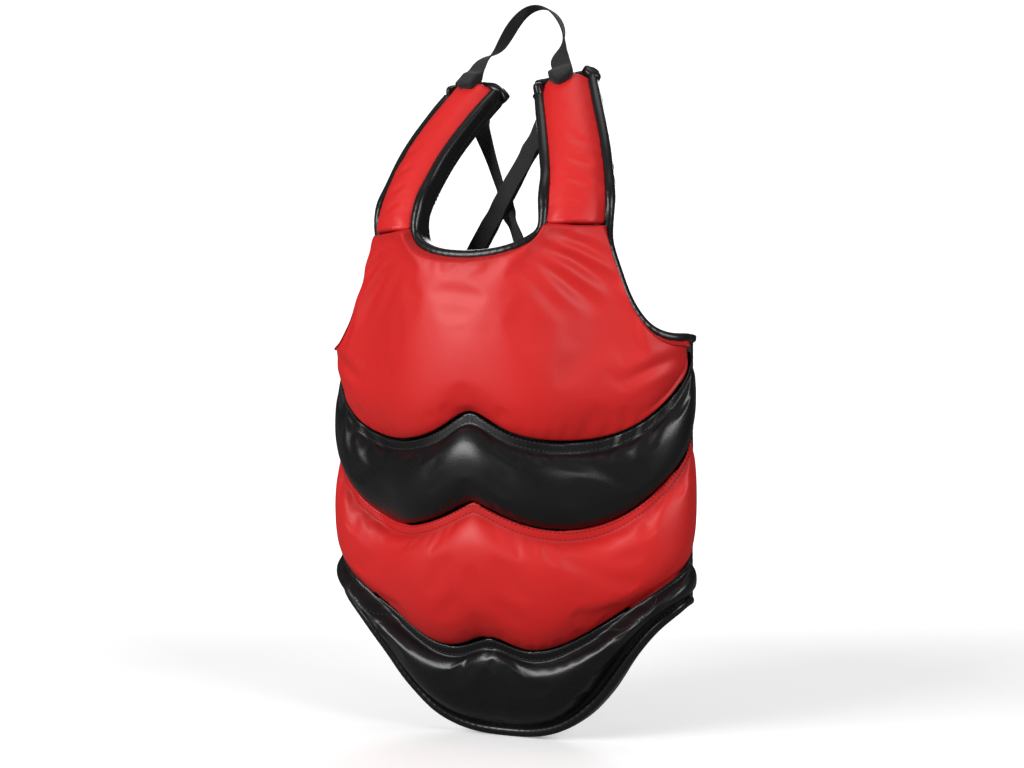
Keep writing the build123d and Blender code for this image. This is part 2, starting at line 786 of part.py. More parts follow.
# a strap's upper end lies flat on the arm's back, under the tip
back_y = -arm_depth - BINDING_LIP - GAP - WEB_THICK / 2


def strap_seat(hand, inward, way):
    """Foot of a strap's sewn end on the back of the right (1) or left (-1) arm."""
    plane = arm_plane(SEAT_SHARE)
    end = plane.from_local_coords((-inward, back_y, 0))
    facing = plane.y_dir
    if hand < 0:
        end, facing = mirrored(end), mirrored(facing)
    way = Vector(way).normalized()
    up = (way - facing * way.dot(facing)).normalized()
    return end - up * SEAT, up, facing.cross(up)


# left wing: its strap runs nearly straight down from the right shoulder
left_way = (0.49, 0.03, 0.87)
left_plane, left_wall = buckle_plane(-1, left_way)
left_strap = make_strap(left_plane, [strap_seat(1, 4, left_way)])

# right wing: its strap hangs slack from the left shoulder, edge towards the front
right_plane, right_wall = buckle_plane(1, (-0.62, 0.1, 0.78))
slack_foot, slack_up, slack_across = strap_seat(-1, 5, (-0.3, 0, 0.95))
right_strap = make_strap(
    right_plane,
    [
        (Vector(6, 14, 134), (-0.45, 0, 0.9), (-0.75, 0.6, -0.3)),
        (Vector(-20, 17, 198), (-0.3, 0.05, 0.95), (-0.66, 0.72, -0.2)),
        (slack_foot, slack_up, slack_across),
    ],
)

for hand, plane, wall, strap_made, shoulder in (
    ("left", left_plane, left_wall, left_strap, "right"),
    ("right", right_plane, right_wall, right_strap, "left"),
):
    finish(make_socket(plane), f"{hand}_buckle_socket")
    finish(make_plug(plane), f"{hand}_buckle_plug")
    outer = 1 if hand == "left" else -1
    finish(make_latch(plane, outer), f"{hand}_outer_latch")
    finish(make_latch(plane, -outer), f"{hand}_inner_latch")
    finish(make_tab(plane, wall), f"{hand}_tab")
    finish(make_keeper(plane), f"{hand}_keeper")
    finish(strap_made, f"{shoulder}_shoulder_strap")
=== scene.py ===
import heapq
import math

import bpy
import numpy as np
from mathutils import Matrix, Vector
from mathutils.bvhtree import BVHTree


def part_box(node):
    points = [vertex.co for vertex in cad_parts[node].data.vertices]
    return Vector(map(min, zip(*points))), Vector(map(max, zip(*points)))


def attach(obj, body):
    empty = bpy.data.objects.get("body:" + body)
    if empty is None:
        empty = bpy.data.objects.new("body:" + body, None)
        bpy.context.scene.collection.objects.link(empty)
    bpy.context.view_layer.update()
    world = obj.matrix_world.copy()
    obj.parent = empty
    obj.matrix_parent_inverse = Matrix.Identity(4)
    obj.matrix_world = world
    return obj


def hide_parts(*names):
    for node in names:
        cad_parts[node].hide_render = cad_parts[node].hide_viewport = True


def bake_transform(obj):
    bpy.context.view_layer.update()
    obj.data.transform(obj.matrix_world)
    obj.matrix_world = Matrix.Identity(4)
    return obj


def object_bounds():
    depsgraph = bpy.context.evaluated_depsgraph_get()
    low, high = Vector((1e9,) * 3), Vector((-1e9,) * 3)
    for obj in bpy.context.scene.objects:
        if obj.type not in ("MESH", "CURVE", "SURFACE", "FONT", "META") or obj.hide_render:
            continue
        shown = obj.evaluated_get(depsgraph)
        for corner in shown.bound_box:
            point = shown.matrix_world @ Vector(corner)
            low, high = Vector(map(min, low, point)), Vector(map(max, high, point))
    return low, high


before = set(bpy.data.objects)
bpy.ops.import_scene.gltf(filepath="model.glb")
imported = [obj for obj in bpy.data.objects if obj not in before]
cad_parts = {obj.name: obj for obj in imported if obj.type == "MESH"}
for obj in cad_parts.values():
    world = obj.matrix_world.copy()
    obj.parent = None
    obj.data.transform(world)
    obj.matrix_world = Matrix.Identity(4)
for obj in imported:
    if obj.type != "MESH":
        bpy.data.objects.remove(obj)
cad_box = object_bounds()

# ---- Materials
# Each material is a sum of a few textures. A Tone stands for the output of
# one shader node, so that the sums can be written the way they are read.
OBJECT = 3  # number of a Texture Coordinate node's Object output
VALUE = 1  # of a Vector Math node's Value output
FACTOR = 2  # of an Attribute node's Fac output


class Tone:
    """Output of a shader node; a sum written with it adds the Math node for it."""

    def __init__(self, tree, socket=None):
        self.tree, self.socket = tree, socket

    def node(self, kind, settings=None, out=0, **inputs):
        """Adds a node: its settings first, then its sockets, by name or as i0, i1 by number."""
        made = self.tree.nodes.new(kind)
        for key, value in (settings or {}).items():
            if key == "stops":
                band = made.color_ramp.elements
                while len(band) < len(value):
                    band.new(0.5)
                for stop, (place, tone) in zip(band, value):
                    stop.position = place
                    stop.color = (*tone, 1) if isinstance(tone, tuple) else (tone, tone, tone, 1)
            else:
                setattr(made, key, value)
        for key, value in inputs.items():
            socket = made.inputs[int(key[1:])] if key[1:].isdigit() else made.inputs[key.replace("_", " ")]
            if isinstance(value, Tone):
                self.tree.links.new(value.socket, socket)
            else:
                socket.default_value = value
        return Tone(self.tree, made.outputs[out])

    def maths(self, operation, first, second=0.0):
        return self.node("ShaderNodeMath", {"operation": operation}, i0=first, i1=second)

    def __add__(self, other):
        return self.maths("ADD", self, other)

    __radd__ = __add__

    def __sub__(self, other):
        return self.maths("SUBTRACT", self, other)

    def __rsub__(self, other):
        return self.maths("SUBTRACT", other, self)

    def __mul__(self, other):
        return self.maths("MULTIPLY", self, other)


def finish_of(name, **values):
    """A new material: its start for sums, and the shader with its plain values set."""
    material = bpy.data.materials.new(name)
    material.use_nodes = True
    shader = material.node_tree.nodes["Principled BSDF"]
    for key, value in values.items():
        shader.inputs[key.replace("_", " ")].default_value = value
    return material, Tone(material.node_tree), shader


def feed(start, shader, **tones):
    """Joins tones to the shader's sockets of the same names."""
    for key, tone in tones.items():
        start.tree.links.new(tone.socket, shader.inputs[key.replace("_", " ")])


def object_place(start):
    """Place of a point in its object's own frame."""
    return start.node("ShaderNodeTexCoord", out=OBJECT)


def noise(place, scale, **values):
    """Soft random blotches."""
    return place.node("ShaderNodeTexNoise", Vector=place, Scale=scale, **values)


def ramp(factor, *stops):
    """Colour that passes each stop as the factor goes from 0 to 1."""
    return factor.node("ShaderNodeValToRGB", {"stops": stops}, Fac=factor)


def relief(height, strength, distance):
    """Normal bent by a height."""
    return height.node("ShaderNodeBump", Strength=strength, Distance=distance, Height=height)


# ---- Studio
# Pale cove with no corners, lit by large soft boxes in front, at the right,
# above and behind. The camera stands a little to the right of the front, and
# the cove looks brighter to it than it lights the piece.
scene = bpy.context.scene
scene.view_settings.view_transform = "Standard"


def placed(name, data):
    """An object of a mesh, lamp or camera, in the scene."""
    made = bpy.data.objects.new(name, data)
    scene.collection.objects.link(made)
    return made


def aimed(name, data, place):
    """A lamp or camera at a place, turned to the origin."""
    made = placed(name, data)
    made.location = place
    made.rotation_euler = (Vector((0, 0, 0)) - made.location).to_track_quat("-Z", "Y").to_euler()
    return made


def soft_box(name, place, size, power):
    """Square lamp turned to the origin."""
    lamp = aimed(name, bpy.data.lights.new(name, "AREA"), place)
    lamp.data.size = size
    lamp.data.energy = power


eye = aimed("camera", bpy.data.cameras.new("camera"), (0.6451, -1.4489, 0))
eye.data.lens = 55.76
eye.data.sensor_width = 36
scene.camera = eye

soft_box("key_box", (-1.1, -2.3, 0.8), 1.25, 70)
soft_box("fill_box", (2.0, -1.1, 0.8), 0.8, 28)
soft_box("top_box", (0.2, 0.0, 2.3), 1.3, 9)
soft_box("back_box", (-0.6, 2.1, 1.0), 1.4, 22)
world = scene.world or bpy.data.worlds.new("world")
scene.world = world
world.use_nodes = True
world.node_tree.nodes["Background"].inputs["Color"].default_value = (1, 1, 1, 1)
world.node_tree.nodes["Background"].inputs["Strength"].default_value = 0.2

# radius and height over the lowest point of the piece
COVE_LINE = ((0.0, 0.0), (0.5, 0.0), (1.2, 0.0), (2.0, 0.0), (2.7, 0.06), (3.3, 0.3), (3.7, 0.8), (3.9, 1.6),
             (4.0, 4.0))
COVE_SIDES = 64
cove_points, cove_faces = [], []
for radius, height in COVE_LINE:
    for turn in range(COVE_SIDES):
        angle = turn * math.tau / COVE_SIDES
        cove_points.append((radius * math.cos(angle), radius * math.sin(angle), cad_box[0][2] + height))
for ring in range(len(COVE_LINE) - 1):
    for turn in range(COVE_SIDES):
        a, b = ring * COVE_SIDES + turn, ring * COVE_SIDES + (turn + 1) % COVE_SIDES
        cove_faces.append((a, b, b + COVE_SIDES, a + COVE_SIDES))
cove_mesh = bpy.data.meshes.new("cove")
cove_mesh.from_pydata(cove_points, [], cove_faces)
cove_mesh.shade_smooth()
cove = placed("cove", cove_mesh)

cove_paint, start, shader = finish_of(
    "cove_paint", Base_Color=(0.82, 0.82, 0.82, 1), Roughness=0.9, Emission_Strength=1.0)
away = start.node("ShaderNodeVectorMath", {"operation": "LENGTH"}, out=VALUE, i0=object_place(start))
glow = start.node("ShaderNodeMapRange", Value=away, From_Min=0.7, From_Max=2.4, To_Min=0.30, To_Max=0.95)
feed(start, shader, Emission_Color=glow)
# bright where the camera sees it, dim for every other ray
dim = start.node("ShaderNodeBsdfDiffuse", Color=(0.22, 0.22, 0.22, 1))
seen = start.node("ShaderNodeLightPath")
bright = Tone(start.tree, shader.outputs["BSDF"])
mixed = start.node("ShaderNodeMixShader", Fac=seen, i1=dim, i2=bright)
start.tree.links.new(mixed.socket, start.tree.nodes["Material Output"].inputs["Surface"])
cove_mesh.materials.append(cove_paint)


# ---- Chest panel
# Red coated cloth over a soft foam pad, cut round the neck and armholes.
# It is sewn down along its wavy lower edge and held under the bindings
# everywhere else, so it puckers a little beside each seam.
BEHIND = Vector((0, 0.06, 0))  # upright line behind the wearer's sides that the panels wrap round
REACH = 0.48  # how far a level ray looks
STEP = 0.003  # from one level ray to the next, while a node's upper and lower edges are looked for
RIM = 0.003  # angle kept clear at a node's upright edges
COLUMNS = 181  # in a panel's grid, from side to side
TUCK = 0.0018  # how far a panel's border is turned in behind a binding
SLACK = 0.004  # spare share of a panel's cloth
PRESSURE = 1.5  # of the foam against a panel's cloth
FRAMES = 20  # that a cloth simulation runs for


def tree_of(node):
    """Search tree over a frame node's faces."""
    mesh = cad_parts[node].data
    corners = [v.co.copy() for v in mesh.vertices]
    return BVHTree.FromPolygons(corners, [tuple(p.vertices) for p in mesh.polygons])


def wrap_ray(angle, height):
    """Level ray from in front of the vest towards the line behind it."""
    way = Vector((math.sin(angle), -math.cos(angle), 0))
    return BEHIND + way * 0.5 + Vector((0, 0, height)), -way


def lining_ray(angle, height):
    """Level ray from the line behind the vest out to its lining."""
    way = Vector((math.sin(angle), -math.cos(angle), 0))
    return BEHIND + Vector((0, 0, height)), way


def drape(node, ray, places, low, high, shares):
    """Grid of points laid on a node: one column at each place, one row at each share of its height."""
    tree = tree_of(node)

    def touch(place, height):
        start, way = ray(place, height)
        return tree.ray_cast(start, way, REACH)[0]

    def edge(place, on, off):
        for _ in range(12):
            middle = (on + off) / 2
            if touch(place, middle):
                on = middle
            else:
                off = middle
        return on

    grid = []
    heights = np.arange(low - STEP, high + STEP, STEP)
    for place in places:
        runs, run = [], []
        for height in heights:
            if touch(place, height):
                run.append(height)
            elif run:
                runs.append(run)
                run = []
        runs.append(run)
        run = max(runs, key=len)
        if len(run) < 2:
            continue
        top, foot = edge(place, run[-1], run[-1] + STEP), edge(place, run[0], run[0] - STEP)
        column = []
        for share in shares(top - foot):
            point = touch(place, min(top - 1e-5, max(foot + 1e-5, foot + share * (top - foot))))
            column.append(point if point else column[-1])
        grid.append(column)
    return np.array([[tuple(p) for p in column] for column in grid])


def grid_normals(grid, outward):
    """Unit normals of a grid of points, on its outward side."""
    along = np.gradient(grid, axis=0)
    up = np.gradient(grid, axis=1)
    normal = np.cross(along, up)
    normal /= np.linalg.norm(normal, axis=2, keepdims=True) + 1e-12
    return normal * np.sign((normal @ np.array(outward)).mean())


def towards(point, trees, reach):
    """Nearest place on any of the trees, and how far it is."""
    found = [tree.find_nearest(Vector(point), reach) for tree in trees]
    found = [(hit[3], np.array(hit[0])) for hit in found if hit[0] is not None]
    return min(found, key=lambda f: f[0]) if found else (None, None)


def tucked(grid, normal, depth, trees=(), reach=0.026):
    """The same grid with its border turned in behind the nearest binding, so that no cut edge shows."""

    def turned(points, out):
        row = []
        for point, away in zip(points, out):
            far, place = towards(point, trees, reach)
            if far is None or far <= 2e-4:
                row.append(point - away * depth)
            else:
                row.append(place + (place - point) / (far + 1e-9) * TUCK)
        return np.array(row)

    grid = np.concatenate([turned(grid[0], normal[0])[None], grid, turned(grid[-1], normal[-1])[None]])
    normal = np.concatenate([normal[:1], normal, normal[-1:]])
    first, last = turned(grid[:, 0], normal[:, 0]), turned(grid[:, -1], normal[:, -1])
    return np.concatenate([first[:, None], grid, last[:, None]], axis=1)


def mark(mesh, key, values):
    """Stores a number at every point of a mesh, for its material."""
    store = mesh.attributes.new(key, "FLOAT", "POINT")
    store.data.foreach_set("value", values.reshape(-1).astype(np.float32))


def sheet_of(name, grid, seam=None, flip=False):
    """Mesh over a grid of points; seam is how near each point lies to a seam, 0 to 1."""
    columns, rows = grid.shape[:2]
    faces = []
    for i in range(columns - 1):
        for j in range(rows - 1):
            a = i * rows + j
            face = (a, a + rows, a + rows + 1, a + 1)
            faces.append(face[::-1] if flip else face)
    mesh = bpy.data.meshes.new(name)
    mesh.from_pydata(grid.reshape(-1, 3).tolist(), [], faces)
    if seam is not None:
        mark(mesh, "seam", seam)
    mesh.shade_smooth()
    return placed(name, mesh)


def settle(piece, held, cap, slack, pressure):
    """Lets sewn cloth swell and pucker between the points that are held, 0 free to 1 sewn."""
    group = piece.vertex_groups.new(name="sewn")
    for index, weight in enumerate(held.reshape(-1)):
        if weight > 0:
            group.add([index], float(weight), "REPLACE")
    rest = np.array([v.co for v in piece.data.vertices])
    cloth = piece.modifiers.new("cloth", "CLOTH")
    settings = cloth.settings
    settings.quality = 5
    settings.mass = 0.25
    settings.tension_stiffness = 30
    settings.compression_stiffness = 30
    settings.shear_stiffness = 15
    settings.bending_stiffness = 12
    settings.vertex_group_mass = "sewn"
    settings.shrink_min = -slack
    settings.use_pressure = True
    settings.uniform_pressure_force = pressure
    settings.effector_weights.gravity = 0
    cloth.collision_settings.use_collision = False
    cloth.point_cache.frame_start = 1
    cloth.point_cache.frame_end = FRAMES
    for number in range(1, FRAMES + 1):
        scene.frame_set(number)
    done = piece.evaluated_get(bpy.context.evaluated_depsgraph_get())
    moved = np.array([v.co for v in done.data.vertices]) - rest
    piece.modifiers.remove(cloth)
    scene.frame_set(1)
    length = np.linalg.norm(moved, axis=1, keepdims=True) + 1e-9
    rest += moved / length * (cap * np.tanh(length / cap))
    piece.data.vertices.foreach_set("co", rest.reshape(-1))
    piece.data.update()


def finer(piece):
    """One subdivision."""
    smooth = piece.modifiers.new("finer", "SUBSURF")
    smooth.levels = 1
    smooth.render_levels = 1


def bell(x, width):
    """1 at zero, falling off to both sides."""
    return np.exp(-((x / width) ** 2))


def ease(x):
    """Smooth step from 0 to 1."""
    x = np.clip(x, 0, 1)
    return x * x * (3 - 2 * x)


def coated_cloth(name, colour, deep, gloss):
    """Polyurethane-coated cloth: fine pressed grain, faint mottling, and painted shade that darkens it
    towards the seams.
    """
    material, start, shader = finish_of(
        name, Specular_IOR_Level=0.3, Coat_Roughness=0.42, Coat_IOR=1.4, IOR=1.48)
    place = object_place(start)
    mottle = noise(place, 14.0, Detail=3.0, Roughness=0.55)
    pores = start.node("ShaderNodeTexVoronoi", {"feature": "DISTANCE_TO_EDGE"}, Vector=place, Scale=950.0)
    grain = noise(place, 620.0, Detail=2.0)
    creases = noise(place, 70.0, Detail=4.0, Roughness=0.6, Distortion=0.6)
    seam = start.node("ShaderNodeAttribute", {"attribute_name": "seam"}, out=FACTOR)
    # painted shade: the seam attribute darkens the colour towards the deep tone beside the seams and in the
    # bindings' grooves, on top of random mottling
    tone = ramp(seam * 0.55 + (mottle - 0.5) * 0.5, (0.0, colour), (1.0, deep))
    normal = relief(pores * 0.35 + grain * 0.5 + creases * 0.55, 0.16, 0.0009)
    rough = gloss + (mottle - 0.5) * 0.14 + seam * 0.1 + (grain - 0.5) * 0.05
    coat = 0.2 - seam * 0.15
    feed(start, shader, Base_Color=tone, Roughness=rough, Normal=normal, Coat_Weight=coat)
    return material


RED = coated_cloth("red_coated_cloth", (0.60, 0.014, 0.013), (0.34, 0.006, 0.007), 0.50)
BLACK = coated_cloth("black_coated_cloth", (0.0055, 0.0055, 0.006), (0.003, 0.003, 0.0035), 0.29)
ROLLS = ("hem_binding", "right_wing_binding", "left_wing_binding", "right_armhole_binding",
         "left_armhole_binding", "neckline_binding")


def panel(name, node, foam, finish, strip, pad_rows, cap, soft, creases, corner=0.0):
    """Sewn panel laid over a band of the vest, with its flat strip, puckers and folds."""
    low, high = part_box(node)
    wide = math.atan2(high.x, BEHIND.y - high.y) - RIM
    angles = np.linspace(-wide, wide, COLUMNS)

    def shares(height):
        flat = min(strip, height / 4) / height
        lower = np.linspace(0, 1 - flat, pad_rows)
        return np.concatenate([lower, np.linspace(1 - flat, 1, 6)[1:]]) if strip else lower

    grid = drape(node, wrap_ray, angles, low.z, high.z, shares)
    normal = grid_normals(grid, (0, -1, 0))
    columns, rows = grid.shape[:2]
    up = np.tile(np.arange(rows), (columns, 1))
    last = pad_rows - 1
    near_foot = np.exp(-up / 2.0)
    near_top = np.exp(-np.abs(last - up) / 2.0)
    firm = ease(np.minimum(up, last - up) / 7.0)[1:-1, :, None]
    for _ in range(soft):
        grid[1:-1] += firm * ((grid[:-2] + grid[2:]) / 2 - grid[1:-1]) * 0.5
    for path, depth, width in creases:
        fold(grid, normal, path, depth, width)
    if corner:
        # pressed in at its two upper corners
        over = np.linalg.norm(grid - grid[:, -1:], axis=2)
        for end in (0, -1):
            beside = np.linalg.norm(grid - grid[end:end + 1 or None], axis=2)
            grid -= normal * (corner * np.exp(-((over / 0.020) ** 2) - (beside / 0.014) ** 2))[:, :, None]
    # small gathers beside the stitching, finer towards the seam
    run = run_of(grid[:, last // 2])[:, None]
    gather = np.sin(run * 330 + 2.1 * np.sin(run * 57)) * (0.6 + 0.4 * np.sin(run * 23))
    reach = bell(up - 2.5, 2.2) + 0.8 * bell(last - up - 3, 2.2)
    grid += normal * (gather * reach * 0.00026)[:, :, None]
    # painted shade: the cloth's colour darkens near the panel's upper and lower seams
    seam = np.clip(near_foot + near_top, 0, 1)
    held = np.zeros_like(seam)
    held[:, :2] = held[:, last:] = 1
    held[:2] = held[-2:] = 1
    whole = tucked(grid, normal, 0.004, [tree_of(roll) for roll in ROLLS])
    piece = sheet_of(name, whole, np.pad(seam, 1, mode="edge"), flip=True)
    settle(piece, np.pad(held, 1, constant_values=1), cap, SLACK, PRESSURE)
    finer(piece)
    piece.data.materials.append(finish)
    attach(piece, "vest")
    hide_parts(node, foam)
    return grid, normal, last


def run_of(line):
    """Distance of each point of a line from its start."""
    return np.r_[0, np.cumsum(np.linalg.norm(np.diff(line, axis=0), axis=1))]


def fold(grid, normal, path, depth, width):
    """Presses a soft fold into the grid along a path, given as seen from the front."""
    flat = grid.reshape(-1, 3)[:, [0, 2]]
    path = np.array(path, float)
    best = np.full(len(flat), 9.0)
    along = np.zeros(len(flat))
    total = len(path) - 1
    for k, (a, b) in enumerate(zip(path, path[1:])):
        way = b - a
        t = np.clip(((flat - a) @ way) / (way @ way), 0, 1)
        off = np.linalg.norm(flat - (a + t[:, None] * way), axis=1)
        closer = off < best
        best[closer] = off[closer]
        along[closer] = ((k + t) / total)[closer]
    fade = np.sin(np.pi * np.clip(along * 0.92 + 0.04, 0, 1)) ** 0.7
    dip = bell(best, width) - 0.45 * bell(best - 2.1 * width, width)
    grid -= normal * (dip * fade * depth).reshape(grid.shape[:2])[:, :, None]


panel(
    "chest_panel", "chest_cover", "chest_foam", RED, strip=0, pad_rows=70, cap=0.0022,
    soft=70, creases=[
        ([(-0.080, 0.136), (-0.112, 0.122), (-0.150, 0.090)], 0.0026, 0.0052),
        ([(-0.078, 0.126), (-0.104, 0.106), (-0.136, 0.066)], 0.0024, 0.0058),
        ([(-0.084, 0.142), (-0.120, 0.136), (-0.146, 0.118)], 0.0018, 0.0044),
        ([(-0.070, 0.116), (-0.088, 0.094), (-0.108, 0.058)], 0.0014, 0.0060),
        ([(0.074, 0.128), (0.098, 0.116), (0.132, 0.092)], 0.0026, 0.0050),
        ([(0.070, 0.116), (0.090, 0.098), (0.118, 0.072)], 0.0022, 0.0056),
        ([(0.084, 0.138), (0.106, 0.130), (0.136, 0.114)], 0.0018, 0.0044),
        ([(0.055, 0.108), (0.072, 0.092), (0.088, 0.068)], 0.0012, 0.0060),
        ([(-0.186, 0.030), (-0.164, 0.020), (-0.140, 0.004)], 0.0016, 0.0050),
        ([(0.186, 0.026), (0.166, 0.016), (0.142, 0.002)], 0.0016, 0.0050),
    ], corner=0.007)


# ---- Rib band, belly band and lower guard
# Three more padded bands, black, red and black, each with a flat strip along
# its top that is sewn down with two rows of thread.
STRIP = 0.011  # height of the flat strip
rib = panel(
    "rib_band", "rib_band_cover", "rib_band_foam", BLACK,
    STRIP, pad_rows=44, cap=0.0018, soft=30, creases=[
        ([(0.152, -0.016), (0.148, -0.040), (0.140, -0.062)], 0.0018, 0.0048),
        ([(0.168, -0.004), (0.165, -0.030), (0.156, -0.056)], 0.0020, 0.0048),
        ([(0.132, -0.030), (0.128, -0.048), (0.122, -0.068)], 0.0014, 0.0040),
        ([(-0.146, -0.034), (-0.140, -0.058), (-0.126, -0.082)], 0.0014, 0.0052),
        ([(-0.164, -0.020), (-0.160, -0.046), (-0.150, -0.074)], 0.0015, 0.0050),
        ([(-0.120, -0.050), (-0.112, -0.066), (-0.098, -0.080)], 0.0009, 0.0050),
        ([(-0.180, 0.004), (-0.179, -0.022), (-0.172, -0.052)], 0.0012, 0.0044),
    ])
belly = panel(
    "belly_band", "belly_band_cover", "belly_band_foam", RED,
    STRIP, pad_rows=48, cap=0.0018, soft=30, creases=[
        ([(0.168, -0.090), (0.164, -0.112), (0.156, -0.136)], 0.0016, 0.0044),
        ([(-0.166, -0.096), (-0.160, -0.118), (-0.150, -0.142)], 0.0016, 0.0044),
        ([(-0.130, -0.118), (-0.122, -0.134), (-0.108, -0.150)], 0.0010, 0.0044),
    ])
guard = panel(
    "lower_guard", "lower_guard_cover", "lower_guard_foam", BLACK,
    STRIP, pad_rows=48, cap=0.0018, soft=20, creases=[
        ([(0.150, -0.206), (0.140, -0.220), (0.124, -0.236)], 0.0014, 0.0042),
        ([(-0.150, -0.206), (-0.140, -0.222), (-0.124, -0.240)], 0.0016, 0.0042),
    ])


def thread_of(name, colour):
    """Sewing thread: its twist shows as a fine slanted ripple."""
    material, start, shader = finish_of(name, Specular_IOR_Level=0.3)
    place = object_place(start)
    twist = noise(place, 1800.0, Detail=1.0)
    fuzz = noise(place, 90.0)
    tone = ramp(twist * 0.6 + fuzz * 0.4, (0.3, colour), (0.75, tuple(c * 2.2 for c in colour)))
    feed(start, shader, Base_Color=tone, Roughness=0.55 + fuzz * 0.2, Normal=relief(twist, 0.4, 0.0002))
    return material


BLACK_THREAD = thread_of("black_thread", (0.022, 0.022, 0.023))
RED_THREAD = thread_of("red_thread", (0.22, 0.006, 0.008))


def unit(v):
    """Vectors scaled to length 1."""
    return v / (np.linalg.norm(v, axis=-1, keepdims=True) + 1e-12)


def point_on(line, run, place):
    """Point of a line at a distance from its start."""
    return np.array([np.interp(place, run, line[:, k]) for k in range(3)])


def stitches(name, path, normal, finish, pitch=0.0042, long=0.0029, thick=0.00042):
    """A row of short raised stitches laid along a path of points."""
    run = run_of(path)
    ring = np.linspace(0, math.tau, 6, endpoint=False)
    verts, faces = [], []
    for number in range(int(run[-1] / pitch)):
        place = (number + 0.5) * pitch
        tail, tip = point_on(path, run, place - long / 2), point_on(path, run, place + long / 2)
        out = unit(point_on(normal, run, place))
        side = unit(np.cross(tip - tail, out))
        base = len(verts)
        for share, size in ((0, 0.35), (0.25, 0.95), (0.75, 0.95), (1, 0.35)):
            middle = tail * (1 - share) + tip * share
            lift = (0.5 * size - 0.1) * thick
            for angle in ring:
                verts.append(middle + out * (lift + math.sin(angle) * thick * size)
                             + side * math.cos(angle) * thick * size * 1.1)
        for band in range(3):
            for k in range(6):
                a, b = base + band * 6 + k, base + band * 6 + (k + 1) % 6
                faces.append((a, b, b + 6, a + 6))
        faces.append(tuple(range(base + 5, base - 1, -1)))
        faces.append(tuple(range(base + 18, base + 24)))
    mesh = bpy.data.meshes.new(name)
    mesh.from_pydata([tuple(v) for v in verts], [], faces)
    mesh.shade_smooth()
    piece = placed(name, mesh)
    piece.data.materials.append(finish)
    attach(piece, "vest")


for label, (grid, normal, last), finish, slot in (
        ("rib", rib, BLACK_THREAD, "black_coated_cloth"),
        ("belly", belly, RED_THREAD, "red_coated_cloth"),
        ("guard", guard, BLACK_THREAD, "black_coated_cloth")):
    for row, rise in (("low", 1), ("high", 4)):
        path, out = grid[2:-2, last + rise], normal[2:-2, last + rise]
        stitches(label + "_" + row + "_stitching", path, out, finish)


# ---- Hem binding
# Black vinyl strip folded over the lower edge of the pad and sewn through,
# with a line of thread on each face.
def edges_of(node):
    """A node's points, each once, and the pairs of them that its edges join."""
    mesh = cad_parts[node].data
    points = np.array([v.co for v in mesh.vertices])
    _, first, back = np.unique(np.round(points, 6), axis=0, return_index=True, return_inverse=True)
    ends = back.reshape(-1)[np.array([e.vertices for e in mesh.edges])]
    return points[first], ends[ends[:, 0] != ends[:, 1]]


def walk(points, ends, start):
    """Distance of every point from a start, along the edges."""
    length = np.linalg.norm(points[ends[:, 0]] - points[ends[:, 1]], axis=1)
    near = [[] for _ in points]
    for (a, b), d in zip(ends.tolist(), length.tolist()):
        near[a].append((b, d))
        near[b].append((a, d))
    far = np.full(len(points), np.inf)
    far[start] = 0
    queue = [(0.0, start)]
    while queue:
        d, a = heapq.heappop(queue)
        if d > far[a]:
            continue
        for b, step in near[a]:
            if d + step < far[b]:
                far[b] = d + step
                heapq.heappush(queue, (d + step, b))
    return far


def smoothed(line, times):
    """A line with its bumps averaged out, its two ends kept."""
    line = line.copy()
    for _ in range(times):
        line[1:-1] = (line[:-2] + 2 * line[1:-1] + line[2:]) / 4
    return line


def evenly(line, step):
    """The same line with points at even steps."""
    run = run_of(line)
    places = np.linspace(0, run[-1], max(4, int(run[-1] / step)))
    return np.stack([np.interp(places, run, line[:, k]) for k in range(3)], axis=1)


TURNS = np.linspace(0, math.tau, 32, endpoint=False)


